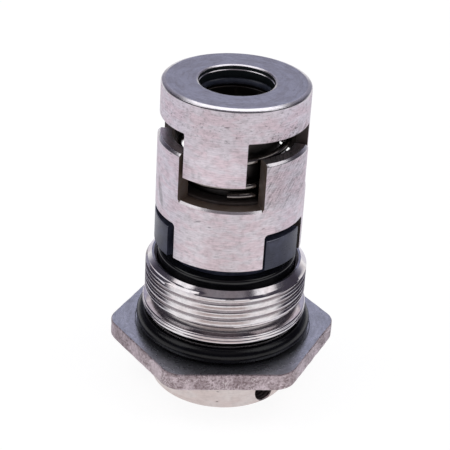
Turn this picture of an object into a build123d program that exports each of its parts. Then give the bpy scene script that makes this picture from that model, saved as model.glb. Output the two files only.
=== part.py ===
from build123d import *
import math
import os

# Cartridge mechanical seal for a 12 mm pump shaft, standing on its set-screw collar, wet end up.
# Millimetres. Origin at the centre of the collar's bottom face, Z along the shaft axis.
# Clock angles are in degrees from the -Y side, positive towards +X.

# ---- Shaft and fits ----
shaft_diameter = 12.0
shaft_clearance = 0.05        # radial, sleeve bore on the shaft
running_clearance = 0.05      # radial or axial, between pieces that turn or slide on each other
rubber_clearance = 0.05       # an O-ring's skin to the metal of its groove
film_gap = 0.02               # between the two lapped sealing faces
cutter_overrun = 1.0          # how far cutting shapes run past the metal that they cut
sector_count = 3              # cap legs, slots, sleeve legs, lugs and set screws
sector_pitch = 360 / sector_count

# ---- Shaft sleeve with its collar ----
sleeve_wall = 1.55
collar_step = 0.2             # collar's surface inside the drive sleeve's
collar_height = 7.2
collar_edge_break = 0.3
sleeve_bore_chamfer = 0.5

# ---- Set screws ----
screw_diameter = 4.0
screw_length = 4.0
screw_height = 2.4            # screw axis above the collar's bottom face
screw_tip_gap = 0.3           # tip short of the shaft bore, so that the shaft slides in
screw_hex_af = 2.0
screw_hex_depth = 1.6
screw_tip_chamfer = 0.5
screw_clock = 41.0
screw_mouth_chamfer = 0.15

# ---- Seal carrier (hexagon gland) ----
hex_across_flats = 35.0
hex_thickness = 3.35
hex_corner_radius = 4.0
hex_clock = 6.2
thread_length = 6.8
thread_lead_chamfer = 0.6
relief_depth = 0.97
relief_length = 1.0
land_rise = 0.33              # land above the thread's crests
land_length = 1.4
land_edge_break = 0.2
neck_depth = 1.72             # neck below the thread's crests
neck_length = 3.8
ring_spot_depth = 0.1         # spot face for the carrier O-ring, below the hexagon's bearing face
ring_spot_margin = 0.15
barrel_wall = 0.95            # relief groove to mouth
mouth_chamfer = 0.4
mouth_depth = 5.8

# ---- Carrier O-ring ----
carrier_ring_section = 3.0

# ---- Stationary seat and its O-ring ----
seat_wall = 3.5
seat_side_gap = 0.15
seat_sleeve_gap = 0.7         # seat's bore off the sleeve tube
seat_stand_out = 1.7          # sealing face above the carrier's rim
seat_foot_height = 2.4
seat_edge_chamfer = 0.3
seat_ring_section = 1.85
carrier_bore_step = 0.1       # carrier's bore wider than the seat's

# ---- Rotary seal ring and its O-ring ----
nose_length = 1.75
nose_outer_step = 0.4         # nose narrower than the ring's body
nose_inner_step = 0.3         # nose's bore wider than the seat's
ring_side_gap = 0.2
ring_sleeve_gap = 0.3
ring_web_gap = 0.35           # ring's back face below the drive sleeve's web
ring_section = 2.0
lug_height = 5.45
lug_sweep = 37.2
lug_clock = 49.3
lug_edge_chamfer = 0.25

# ---- Spring ----
spring_wire = 1.2
spring_inner_gap = 0.8        # spring off the sleeve tube
spring_outer_gap = 0.6        # spring off the drive sleeve
spring_turns = 4.0
spring_end_turns = 0.6        # nearly flat part of each end
spring_closed_pitch = 1.6
spring_clock = -2.8
spring_points_per_turn = 12

# ---- Drive sleeve ----
drive_wall = 2.3
drive_leg_wall = 1.7
drive_web_gap = 0.6           # web's bore off the sleeve tube
drive_web_thickness = 1.7
drive_clock = -7.8
leg_sweep = 73.2
leg_overlap = 5.1             # sleeve legs down past the lugs' top
notch_gap = 1.25              # notch roof above the lugs' top
notch_corner_radius = 0.7
web_above_notch = 4.6         # web's top face above the notch roofs
slot_sweep = 68.9
slot_depth = 8.15
slot_corner_radius = 0.3
drive_edge_chamfer = 0.45
slot_edge_chamfer = 0.35

# ---- Thrust washer ----
washer_thickness = 0.5
washer_sleeve_gap = 0.4
washer_side_gap = 0.1

# ---- Driver cap ----
cap_step = 0.25               # cap's surface inside the drive sleeve's
cap_ring_height = 5.75
cap_leg_length = 7.75
cap_leg_sweep = 50.5
cap_leg_clock = -13.95
cap_leg_inset = 0.1           # legs' inner face outside the drive sleeve's bore
cap_above_web = 17.65         # cap's top face above the drive sleeve's web
cap_lip_gap = 0.1             # lip's bore wider than the shaft bore
cap_lip_thickness = 2.1
cap_pocket_depth = 1.65       # spring pocket up into the ring
cap_edge_chamfer = 0.4
cap_bore_chamfer = 0.35
cap_corner_radius = 0.25

# ---- Shaft O-ring ----
shaft_ring_section = 1.45

# ---- Radii, from the shaft outwards ----
shaft_bore_radius = shaft_diameter / 2 + shaft_clearance
sleeve_radius = shaft_bore_radius + sleeve_wall
spring_radius = sleeve_radius + spring_inner_gap + spring_wire / 2
drive_bore_radius = spring_radius + spring_wire / 2 + spring_outer_gap
drive_radius = drive_bore_radius + drive_wall
drive_leg_bore_radius = drive_radius - drive_leg_wall
drive_web_radius = sleeve_radius + drive_web_gap
cap_radius = drive_radius - cap_step
cap_leg_bore_radius = drive_bore_radius + cap_leg_inset
cap_lip_radius = shaft_bore_radius + cap_lip_gap
ring_body_radius = drive_leg_bore_radius - ring_side_gap
ring_bore_radius = sleeve_radius + ring_sleeve_gap
ring_pocket_radius = sleeve_radius + ring_section + 2 * rubber_clearance
seat_bore_radius = sleeve_radius + seat_sleeve_gap
nose_bore_radius = seat_bore_radius + nose_inner_step
nose_radius = ring_body_radius - nose_outer_step
seat_radius = seat_bore_radius + seat_wall
mouth_radius = seat_radius + seat_side_gap
seat_foot_radius = mouth_radius - seat_ring_section - 2 * rubber_clearance
carrier_bore_radius = seat_bore_radius + carrier_bore_step
relief_radius = mouth_radius + barrel_wall
thread_radius = relief_radius + relief_depth
land_radius = thread_radius + land_rise
neck_radius = thread_radius - neck_depth
ring_spot_radius = neck_radius + carrier_ring_section + 2 * rubber_clearance + ring_spot_margin
collar_radius = drive_radius - collar_step
screw_hole_radius = screw_diameter / 2

# ---- Heights, each from the one below it ----
carrier_bottom = collar_height + running_clearance
hex_top = carrier_bottom + hex_thickness
ring_spot = hex_top - ring_spot_depth
land_bottom = hex_top + neck_length
relief_bottom = land_bottom + land_length
thread_bottom = relief_bottom + relief_length
rim_top = thread_bottom + thread_length
seat_floor = rim_top - mouth_depth
seat_face = rim_top + seat_stand_out
nose_face = seat_face + film_gap
lug_bottom = nose_face + nose_length
lug_top = lug_bottom + lug_height
leg_bottom = lug_top - leg_overlap
notch_top = lug_top + notch_gap
web_top = notch_top + web_above_notch
web_bottom = web_top - drive_web_thickness
ring_top = web_bottom - ring_web_gap
ring_pocket_bottom = web_bottom - ring_section - 2 * rubber_clearance
tongue_top = web_top + slot_depth
washer_bottom = web_top + running_clearance
washer_top = washer_bottom + washer_thickness
cap_top = web_top + cap_above_web
cap_ring_bottom = cap_top - cap_ring_height
cap_leg_bottom = cap_ring_bottom - cap_leg_length
cap_pocket_top = cap_ring_bottom + cap_pocket_depth
cap_lip_bottom = cap_top - cap_lip_thickness
sleeve_top = cap_lip_bottom - shaft_ring_section - 2 * rubber_clearance


def turned(points):
    """Turn a closed outline of (radius, height) points about the shaft axis."""
    outline = make_face(Polyline(*[(radius, 0, height) for radius, height in points], close=True))
    return revolve(outline, axis=Axis.Z)


def turned_sector(points, clock, sweep):
    """A wedge of a turned outline, centred on a clock angle."""
    outline = make_face(Polyline(*[(radius, 0, height) for radius, height in points], close=True))
    return Rot(Z=clock - 90 - sweep / 2) * revolve(outline, axis=Axis.Z, revolution_arc=sweep)


def sector(outer_radius, inner_radius, bottom, top, clock, sweep):
    """A wedge of a plain ring, centred on a clock angle."""
    corners = [(inner_radius, bottom), (outer_radius, bottom), (outer_radius, top), (inner_radius, top)]
    return turned_sector(corners, clock, sweep)


def corners_rounded(wedge, height, radius):
    """Round the two radial edges of a wedge at the given height."""
    edges = [
        edge
        for edge in wedge.edges().filter_by(GeomType.LINE)
        if abs(edge.center().Z - height) < 0.001 and edge.bounding_box().size.Z < 0.001
    ]
    return fillet(edges, radius)


def around(shape, clock_offset=0.0):
    """Copies of a shape at every sector, as a list."""
    return [Rot(Z=clock_offset + index * sector_pitch) * shape for index in range(sector_count)]


def o_ring(inner_radius, section, centre_height):
    """A round-section rubber ring."""
    centre = Plane.XZ * Location((inner_radius + section / 2, centre_height))
    return revolve(centre * Circle(section / 2), axis=Axis.Z)


def make_shaft_sleeve():
    """Sleeve tube with the set-screw collar turned on its dry end."""
    break_ = collar_edge_break
    body = turned([
        (shaft_bore_radius + sleeve_bore_chamfer, 0),
        (collar_radius - break_, 0),
        (collar_radius, break_),
        (collar_radius, collar_height - break_),
        (collar_radius - break_, collar_height),
        (sleeve_radius, collar_height),
        (sleeve_radius, sleeve_top),
        (shaft_bore_radius, sleeve_top),
        (shaft_bore_radius, sleeve_bore_chamfer),
    ])
    bore = Cylinder(screw_hole_radius, collar_radius + cutter_overrun, align=(Align.CENTER, Align.CENTER, Align.MIN))
    flare_height = 2 * screw_mouth_chamfer + cutter_overrun
    flare = Pos(Z=collar_radius - 2 * screw_mouth_chamfer) * Cone(
        screw_hole_radius,
        screw_hole_radius + flare_height,
        flare_height,
        align=(Align.CENTER, Align.CENTER, Align.MIN),
    )
    hole = Pos(Z=screw_height) * Rot(X=90) * (bore + flare)
    return body - around(hole, screw_clock)


def make_set_screw():
    """Socket set screw pointing at the shaft, on the front clock position."""
    radius = screw_hole_radius - running_clearance
    tip = shaft_bore_radius + screw_tip_gap
    outline = Polyline(
        (0, 0),
        (radius - screw_tip_chamfer, 0),
        (radius, screw_tip_chamfer),
        (radius, screw_length - screw_tip_chamfer / 2),
        (radius - screw_tip_chamfer / 2, screw_length),
        (0, screw_length),
        close=True,
    )
    body = revolve(Plane.XZ * make_face(outline), axis=Axis.Z)
    socket_plane = Plane.XY.offset(screw_length - screw_hex_depth)
    socket = extrude(
        socket_plane * RegularPolygon(screw_hex_af / 2, 6, major_radius=False), amount=screw_hex_depth
    )
    return Pos(Z=screw_height) * Rot(X=90) * Pos(Z=tip) * (body - socket)


def make_seal_carrier():
    """Hexagon flange and threaded barrel, cast and turned as one piece."""
    flange = extrude(
        Plane.XY.offset(carrier_bottom) * RegularPolygon(hex_across_flats / 2, 6, major_radius=False),
        amount=hex_thickness,
    )
    flange = fillet(flange.edges().filter_by(Axis.Z), hex_corner_radius)
    spot = Pos(Z=ring_spot) * Cylinder(
        ring_spot_radius, hex_thickness, align=(Align.CENTER, Align.CENTER, Align.MIN)
    )
    flange = Rot(Z=hex_clock) * flange - spot
    barrel = turned([
        (carrier_bore_radius, carrier_bottom),
        (neck_radius, carrier_bottom),
        (neck_radius, land_bottom),
        (land_radius - land_edge_break, land_bottom),
        (land_radius, land_bottom + land_edge_break),
        (land_radius, relief_bottom - land_edge_break),
        (land_radius - land_edge_break, relief_bottom),
        (relief_radius, relief_bottom),
        (relief_radius, thread_bottom),
        (thread_radius, thread_bottom + relief_depth),
        (thread_radius, rim_top - thread_lead_chamfer),
        (thread_radius - thread_lead_chamfer, rim_top),
        (mouth_radius + mouth_chamfer, rim_top),
        (mouth_radius, rim_top - mouth_chamfer),
        (mouth_radius, seat_floor),
        (carrier_bore_radius, seat_floor),
    ])
    hole = Cylinder(carrier_bore_radius, hex_top, align=(Align.CENTER, Align.CENTER, Align.MIN))
    return (flange - hole) + barrel


def make_stationary_seat():
    """Seat ring, stepped at the foot for its O-ring, with a lapped face on top."""
    chamfer_ = seat_edge_chamfer
    foot_top = seat_floor + seat_foot_height
    return turned([
        (seat_bore_radius, seat_floor),
        (seat_foot_radius - chamfer_, seat_floor),
        (seat_foot_radius, seat_floor + chamfer_),
        (seat_foot_radius, foot_top),
        (seat_radius, foot_top),
        (seat_radius, seat_face - chamfer_),
        (seat_radius - chamfer_, seat_face),
        (seat_bore_radius, seat_face),
    ])


def make_rotary_seal_ring():
    """Carbide ring with a narrow lapped nose, three driving lugs and an O-ring pocket in its back."""
    body = turned([
        (nose_bore_radius, nose_face),
        (nose_radius, nose_face),
        (nose_radius, lug_bottom),
        (ring_body_radius, lug_bottom),
        (ring_body_radius, ring_top),
        (ring_pocket_radius, ring_top),
        (ring_pocket_radius, ring_pocket_bottom),
        (ring_bore_radius, ring_pocket_bottom),
        (ring_bore_radius, lug_bottom),
        (nose_bore_radius, lug_bottom),
    ])
    lug = turned_sector(
        [
            (ring_pocket_radius, lug_bottom),
            (drive_radius, lug_bottom),
            (drive_radius, lug_top - lug_edge_chamfer),
            (drive_radius - lug_edge_chamfer, lug_top),
            (ring_pocket_radius, lug_top),
        ],
        lug_clock,
        lug_sweep,
    )
    return body + around(lug)


def make_drive_sleeve():
    """Sleeve with open slots for the cap's legs above its web and notches for the lugs below it."""
    body = turned([
        (drive_web_radius, web_bottom),
        (drive_leg_bore_radius, web_bottom),
        (drive_leg_bore_radius, leg_bottom),
        (drive_radius, leg_bottom),
        (drive_radius, tongue_top - drive_edge_chamfer),
        (drive_radius - drive_edge_chamfer, tongue_top),
        (drive_bore_radius, tongue_top),
        (drive_bore_radius, web_top),
        (drive_web_radius, web_top),
    ])
    reach = drive_radius + cutter_overrun
    slot = sector(reach, drive_bore_radius, web_top, tongue_top + cutter_overrun, drive_clock, slot_sweep)
    slot = corners_rounded(slot, web_top, slot_corner_radius)
    notch = sector(
        reach,
        drive_leg_bore_radius - cutter_overrun,
        leg_bottom - cutter_overrun,
        notch_top,
        drive_clock + sector_pitch / 2,
        sector_pitch - leg_sweep,
    )
    notch = corners_rounded(notch, notch_top, notch_corner_radius)
    bevel = turned_sector(
        [
            (drive_radius - slot_edge_chamfer, web_top),
            (reach, web_top),
            (reach, web_top - slot_edge_chamfer - cutter_overrun),
        ],
        drive_clock,
        slot_sweep - math.degrees(2 * slot_corner_radius / drive_radius),
    )
    return body - around(slot) - around(bevel) - around(notch)


def make_thrust_washer():
    """Flat ring between the spring and the drive sleeve's web."""
    return turned([
        (sleeve_radius + washer_sleeve_gap, washer_bottom),
        (drive_bore_radius - washer_side_gap, washer_bottom),
        (drive_bore_radius - washer_side_gap, washer_top),
        (sleeve_radius + washer_sleeve_gap, washer_top),
    ])


def make_driver_cap():
    """Cap pressed on the sleeve: chamfered ring, bore lip over the shaft O-ring, three driving legs."""
    body = turned([
        (cap_lip_radius, cap_lip_bottom),
        (sleeve_radius, cap_lip_bottom),
        (sleeve_radius, cap_pocket_top),
        (cap_leg_bore_radius, cap_pocket_top),
        (cap_leg_bore_radius, cap_leg_bottom),
        (cap_radius, cap_leg_bottom),
        (cap_radius, cap_top - cap_edge_chamfer),
        (cap_radius - cap_edge_chamfer, cap_top),
        (cap_lip_radius + cap_bore_chamfer, cap_top),
        (cap_lip_radius, cap_top - cap_bore_chamfer),
    ])
    gap = sector(
        cap_radius + cutter_overrun,
        cap_leg_bore_radius - cutter_overrun,
        cap_leg_bottom - cutter_overrun,
        cap_ring_bottom,
        cap_leg_clock + sector_pitch / 2,
        sector_pitch - cap_leg_sweep,
    )
    gap = corners_rounded(gap, cap_ring_bottom, cap_corner_radius)
    return body - around(gap)


def spring_height(turn):
    """Height of the wire's centre above its lower end, after the given number of turns."""
    length = cap_pocket_top - washer_top - spring_wire - 2 * running_clearance
    spread = length - spring_closed_pitch * spring_turns
    share = (turn - spring_end_turns) / (spring_turns - 2 * spring_end_turns)
    share = min(max(share, 0), 1)
    return spring_closed_pitch * turn + spread * share * share * (3 - 2 * share)


def make_spring():
    """Round-wire compression spring with closed ends, wound right-handed."""
    first = washer_top + running_clearance + spring_wire / 2
    steps = round(spring_turns * spring_points_per_turn)
    points = []
    for step in range(steps + 1):
        turn = step / spring_points_per_turn
        angle = math.radians(spring_clock - 90 + 360 * turn)
        height = first + spring_height(turn)
        points.append((spring_radius * math.cos(angle), spring_radius * math.sin(angle), height))
    path = Spline(*points)
    profile = Plane(origin=path @ 0, z_dir=path % 0) * Circle(spring_wire / 2)
    return sweep(profile, path=path, is_frenet=True)


def make_parts():
    """Every node of the seal, by name."""
    parts = {
        "shaft_sleeve": make_shaft_sleeve(),
        "driver_cap": make_driver_cap(),
        "shaft_o_ring": o_ring(
            shaft_bore_radius + rubber_clearance, shaft_ring_section, (sleeve_top + cap_lip_bottom) / 2
        ),
        "spring": make_spring(),
        "thrust_washer": make_thrust_washer(),
        "drive_sleeve": make_drive_sleeve(),
        "ring_o_ring": o_ring(
            sleeve_radius + rubber_clearance,
            ring_section,
            web_bottom - rubber_clearance - ring_section / 2,
        ),
        "rotary_seal_ring": make_rotary_seal_ring(),
        "stationary_seat": make_stationary_seat(),
        "seat_o_ring": o_ring(
            seat_foot_radius + rubber_clearance, seat_ring_section, seat_floor + seat_foot_height / 2
        ),
        "seal_carrier": make_seal_carrier(),
        "carrier_o_ring": o_ring(
            neck_radius + rubber_clearance, carrier_ring_section, ring_spot + carrier_ring_section / 2
        ),
    }
    for number, screw in enumerate(around(make_set_screw(), screw_clock), start=1):
        parts[f"set_screw_{number}"] = screw
    return parts


os.makedirs("parts", exist_ok=True)
for name, part in make_parts().items():
    export_step(part, f"parts/{name}.step")
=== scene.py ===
"""Looks of a cartridge mechanical seal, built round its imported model.

Forms are drawn in millimetres of the shared frame and scaled to metres as they are finished. A clock
angle is in degrees round the seal's axis, from the front (-Y) towards the right (+X).
"""

import logging
import math
from collections.abc import Callable, Iterable, Sequence
from dataclasses import dataclass
from enum import Enum
from typing import ClassVar, NamedTuple

import bmesh
import bpy
from mathutils import Matrix, Vector, noise


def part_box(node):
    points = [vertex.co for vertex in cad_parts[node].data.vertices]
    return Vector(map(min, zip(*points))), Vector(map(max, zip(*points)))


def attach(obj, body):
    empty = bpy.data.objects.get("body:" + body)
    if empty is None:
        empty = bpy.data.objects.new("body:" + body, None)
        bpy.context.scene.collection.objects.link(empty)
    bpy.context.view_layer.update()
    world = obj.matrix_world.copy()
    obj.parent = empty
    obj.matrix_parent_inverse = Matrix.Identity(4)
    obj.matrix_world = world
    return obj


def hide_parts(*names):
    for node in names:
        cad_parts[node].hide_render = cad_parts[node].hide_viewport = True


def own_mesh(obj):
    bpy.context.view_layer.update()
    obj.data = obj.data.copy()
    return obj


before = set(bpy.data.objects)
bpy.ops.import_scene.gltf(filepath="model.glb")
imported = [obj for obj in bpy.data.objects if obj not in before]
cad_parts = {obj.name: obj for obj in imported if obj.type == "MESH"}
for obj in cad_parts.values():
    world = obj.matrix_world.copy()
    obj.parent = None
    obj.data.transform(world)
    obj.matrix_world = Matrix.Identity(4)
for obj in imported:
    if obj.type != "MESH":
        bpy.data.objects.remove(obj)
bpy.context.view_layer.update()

MM = 0.001
COLUMNS = 240
SECTORS = 3
SECTOR = 360.0 / SECTORS
WELD = 1e-5
SLIVER = 1e-4
LOG = logging.getLogger("seal")

Colour = tuple[float, float, float]
WHITE: Colour = (1.0, 1.0, 1.0)


# ---------------------------------------------------------------- shader maths


class Signal:
    """A number socket that takes part in arithmetic; each operator adds one Math node."""

    def __init__(self, bench: "Bench", socket: bpy.types.NodeSocket) -> None:
        """Keep the node tree's bench and the socket that carries the value."""
        self.bench = bench
        self.socket = socket

    def maths(self, operation: str, *values: "Signal | float") -> "Signal":
        """Add a Math node.

        Args:
            operation: The Math node's operation.
            values: Its inputs in order.

        Returns:
            The node's output.
        """
        node = self.bench.node("ShaderNodeMath", {"operation": operation}, dict(enumerate(values)))
        return Signal(self.bench, node.outputs[0])

    def __add__(self, other: "Signal | float") -> "Signal":
        """Sum."""
        return self.maths("ADD", self, other)

    __radd__ = __add__

    def __mul__(self, other: "Signal | float") -> "Signal":
        """Product."""
        return self.maths("MULTIPLY", self, other)

    __rmul__ = __mul__

    def __sub__(self, other: "Signal | float") -> "Signal":
        """Difference."""
        return self.maths("SUBTRACT", self, other)

    def __rsub__(self, other: float) -> "Signal":
        """Difference with the signal on the right."""
        return self.maths("SUBTRACT", other, self)

    def __pow__(self, power: float) -> "Signal":
        """Power."""
        return self.maths("POWER", self, power)

    def __abs__(self) -> "Signal":
        """Size without sign."""
        return self.maths("ABSOLUTE", self)

    def ramp(self, low: float, high: float, start: float = 0.0, end: float = 1.0) -> "Signal":
        """Ease from one value to another.

        Args:
            low: Input at which the change begins.
            high: Input at which it ends.
            start: Output below low.
            end: Output above high.

        Returns:
            The eased value.
        """
        values = {"Value": self, "From Min": low, "From Max": high, "To Min": start, "To Max": end}
        node = self.bench.node("ShaderNodeMapRange", {"interpolation_type": "SMOOTHSTEP"}, values)
        return Signal(self.bench, node.outputs["Result"])

    def band(self, middle: float, half: float, fade: float) -> "Signal":
        """One inside a band round a middle value, fading to nought outside it."""
        return abs(self - middle).ramp(half, half + fade, 1.0, 0.0)


class Blend(Enum):
    """How two colours are mixed."""

    MIX = "MIX"
    MULTIPLY = "MULTIPLY"


class Bench:
    """Adds nodes to one node tree."""

    def __init__(self, tree: bpy.types.NodeTree) -> None:
        """Empty the tree and keep it."""
        self.tree = tree
        tree.nodes.clear()

    def node(
        self, kind: str, settings: dict[str, object] | None = None,
        values: dict[int | str, object] | None = None
    ) -> bpy.types.Node:
        """Add one node.

        Args:
            kind: The node's type.
            settings: Its own settings, set first; "stops" fills a colour ramp.
            values: Socket names or numbers with a value, a socket or a Signal for each.

        Returns:
            The new node.
        """
        node = self.tree.nodes.new(kind)
        for name, setting in (settings or {}).items():
            if name == "stops":
                ramp = node.color_ramp
                while len(ramp.elements) < len(setting):
                    ramp.elements.new(0.5)
                for element, (position, colour) in zip(ramp.elements, setting):
                    element.position = position
                    element.color = (*colour, 1.0)
            else:
                setattr(node, name, setting)
        for name, value in (values or {}).items():
            source = value.socket if isinstance(value, Signal) else value
            if isinstance(source, bpy.types.NodeSocket):
                self.tree.links.new(source, node.inputs[name])
            elif isinstance(source, tuple) and node.inputs[name].type == "RGBA":
                node.inputs[name].default_value = (*source, 1.0)
            else:
                node.inputs[name].default_value = source
        return node

    def mix(
        self, share: Signal | float, first: object, second: object, blend: Blend = Blend.MIX
    ) -> bpy.types.NodeSocket:
        """Mix two colours.

        Args:
            share: How much of the second colour shows.
            first: Colour or colour socket.
            second: Colour or colour socket.
            blend: How they are mixed.

        Returns:
            The mixed colour's socket.
        """
        settings = {"data_type": "RGBA", "blend_type": blend.value, "clamp_factor": True}
        node = self.node("ShaderNodeMix", settings, {0: share, 6: first, 7: second})
        return node.outputs[2]

    def vector(self, operation: str, first: object, second: object) -> bpy.types.NodeSocket:
        """Add a Vector Math node and return its vector."""
        node = self.node("ShaderNodeVectorMath", {"operation": operation}, {0: first, 1: second})
        return node.outputs[0]

    def noise(
        self, place: bpy.types.NodeSocket, scale: float, detail: float = 3.0, rough: float = 0.55
    ) -> Signal:
        """Smooth random value from 0 to 1 at a place, with the given fineness."""
        values = {"Vector": place, "Scale": scale, "Detail": detail, "Roughness": rough}
        return Signal(self, self.node("ShaderNodeTexNoise", None, values).outputs["Fac"])


class Place:
    """Coordinates on a piece, in millimetres of the shared frame."""

    def __init__(self, bench: Bench) -> None:
        """Read the object's coordinates and split them.

        Args:
            bench: Bench of the material that uses them.
        """
        self.bench = bench
        metres = bench.node("ShaderNodeTexCoord").outputs["Object"]
        node = bench.node(
            "ShaderNodeVectorMath", {"operation": "SCALE"}, {0: metres, "Scale": 1.0 / MM}
        )
        self.point = node.outputs[0]
        parts = bench.node("ShaderNodeSeparateXYZ", None, {0: self.point}).outputs
        self.x, self.y, self.z = (Signal(bench, part) for part in parts)
        self.radius = (self.x * self.x + self.y * self.y) ** 0.5
        self.clock = self.x.maths("ARCTAN2", self.x, self.y * -1.0) * math.degrees(1.0)

    def turned(self, along: float, across: float) -> bpy.types.NodeSocket:
        """Coordinates stretched round the axis, as a lathe's tool leaves its marks.

        Args:
            along: Fineness round the axis, per millimetre.
            across: Fineness across the marks, per millimetre.

        Returns:
            A vector socket.
        """
        values = {0: self.x * along, 1: self.y * along, 2: (self.z + self.radius) * across}
        return self.bench.node("ShaderNodeCombineXYZ", None, values).outputs[0]

    def tilted(self, stretch: Colour, turn: Colour) -> bpy.types.NodeSocket:
        """Coordinates turned and then stretched, for marks that run one way."""
        values = {"Vector": self.point, "Rotation": turn, "Scale": stretch}
        return self.bench.node("ShaderNodeMapping", {"vector_type": "TEXTURE"}, values).outputs[0]


# -------------------------------------------------------------------- finishes


class Mark(NamedTuple):
    """A mark on the turned wall: place, half sizes in millimetres, tilt and darkness; a dark one is a
    handling mark, one with negative darkness a painted light patch.
    """

    clock: float
    height: float
    length: float
    width: float
    tilt: float
    dark: float

    def shade(self, place: Place, edge: Signal) -> Signal:
        """Darkness of the mark over the surface.

        Args:
            place: Coordinates on the piece.
            edge: Noise that breaks the mark's outline.

        Returns:
            Nought outside the mark.
        """
        along = (place.clock - self.clock) * place.radius * math.radians(1.0)
        up = place.z - self.height
        turn = math.radians(self.tilt)
        first = (along * math.cos(turn) + up * math.sin(turn)) * (1.0 / self.length)
        second = (up * math.cos(turn) - along * math.sin(turn)) * (1.0 / self.width)
        reach = first * first + second * second + (edge - 0.5) * 1.2
        return reach.ramp(0.35, 1.0, self.dark, 0.0)


class Dress(NamedTuple):
    """What a finish gives to its shader."""

    colour: bpy.types.NodeSocket
    roughness: Signal
    relief: Signal
    depth: float


@dataclass(frozen=True)
class Finish:
    """Base of every finish: one Principled shader fed by procedural nodes."""

    name: str
    metallic: float = 1.0
    coat: float = 0.0
    coat_roughness: float = 0.1
    specular: float = 0.5
    made: ClassVar[dict[str, bpy.types.Material]] = {}

    def dress(self, bench: Bench, place: Place) -> Dress:
        """Make the colour, roughness and relief of the finish."""
        raise NotImplementedError

    def material(self) -> bpy.types.Material:
        """Build the material once and give it again on later calls.

        Returns:
            The material named after this finish.
        """
        if self.name in self.made:
            return self.made[self.name]
        material = bpy.data.materials.new(f"{self.name}_look")
        self.made[self.name] = material
        material.use_nodes = True
        bench = Bench(material.node_tree)
        look = self.dress(bench, Place(bench))
        bump = bench.node(
            "ShaderNodeBump", None, {"Strength": 1.0, "Distance": look.depth * MM, "Height": look.relief}
        )
        shader = bench.node(
            "ShaderNodeBsdfPrincipled",
            None,
            {
                "Base Color": look.colour,
                "Metallic": self.metallic,
                "Roughness": look.roughness,
                "Specular IOR Level": self.specular,
                "Coat Weight": self.coat,
                "Coat Roughness": self.coat_roughness,
                "Normal": bump.outputs[0],
            },
        )
        bench.node("ShaderNodeOutputMaterial", None, {"Surface": shader.outputs[0]})
        return material


@dataclass(frozen=True)
class TurnedSteel(Finish):
    """Stainless steel off the lathe: fine rings, faint patches, nicks and handling scratches."""

    warm: Colour = (0.575, 0.500, 0.528)
    cool: Colour = (0.590, 0.555, 0.590)
    grain: float = 5.0
    grain_depth: float = 0.006
    roughness: float = 0.40
    streaks: float = 0.13
    blotches: float = 0.09
    nicks: float = 0.55
    hatching: float = 0.0
    hatched_height: float = 45.0
    specks: float = 0.0
    specked_above: float = 49.6
    marks: tuple[Mark, ...] = ()

    def dress(self, bench: Bench, place: Place) -> Dress:
        """Make the colour, roughness and relief of the finish.

        Args:
            bench: Bench of the finish's material.
            place: Coordinates on the piece.

        Returns:
            What the shader is fed with.
        """
        patches = bench.noise(place.turned(0.32, 0.7), 1.0, 2.0).ramp(0.38, 0.62)
        streak = bench.noise(place.turned(0.9, self.grain), 1.0, 2.0)
        ring = bench.noise(place.turned(0.10, self.grain * 0.8), 1.0, 1.0)
        mottle = bench.noise(place.point, 1.2, 4.0, 0.62)
        spread = {"Vector": place.turned(0.55, 1.5), "Scale": 0.75}
        cells = bench.node("ShaderNodeTexVoronoi", None, spread)
        tints = bench.node("ShaderNodeSeparateXYZ", None, {0: cells.outputs["Color"]}).outputs
        nick = Signal(bench, cells.outputs["Distance"]).ramp(0.05, 0.14, 1.0, 0.0)
        nick = nick * Signal(bench, tints[0]).ramp(0.82, 0.90)
        hatch = bench.noise(place.tilted((2.4, 2.4, 0.16), (0.0, math.radians(-62.0), 0.0)), 1.0, 2.0)
        rubbed = place.x.ramp(3.5, 7.0) * (place.y * -1.0).ramp(2.0, 5.0)
        rubbed = rubbed * place.z.band(self.hatched_height, 5.5, 2.5)
        hatch = hatch.ramp(0.50, 0.66) * rubbed * self.hatching
        pitted = bench.noise(place.turned(2.0, 3.6), 1.0, 1.0).ramp(0.58, 0.72)
        above = place.z.ramp(self.specked_above, self.specked_above + 1.0)
        pitted = pitted * (above + rubbed * 0.7 + 0.15) * self.specks
        colour = bench.mix(patches, self.warm, self.cool)
        shade = 1.0 - streak.ramp(0.32, 0.72) * self.streaks - ring.ramp(0.35, 0.65) * self.streaks * 0.35
        shade = shade - nick * self.nicks - hatch * 0.30 - rubbed * self.hatching * 0.10
        shade = shade - mottle.ramp(0.44, 0.72) * self.blotches - pitted
        # A mark with negative darkness lightens the wall: painted light.
        for mark in self.marks:
            shade = shade - mark.shade(place, mottle)
        grey = bench.node("ShaderNodeCombineColor", None, {0: shade, 1: shade, 2: shade}).outputs[0]
        colour = bench.mix(1.0, colour, grey, Blend.MULTIPLY)
        roughness = self.roughness + (streak - 0.5) * 0.12 + (mottle - 0.5) * 0.12 + nick * 0.2
        relief = ring * 0.5 + streak * 0.7 - nick * 3.0 - hatch * 1.5
        return Dress(colour, roughness, relief, self.grain_depth)


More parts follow.
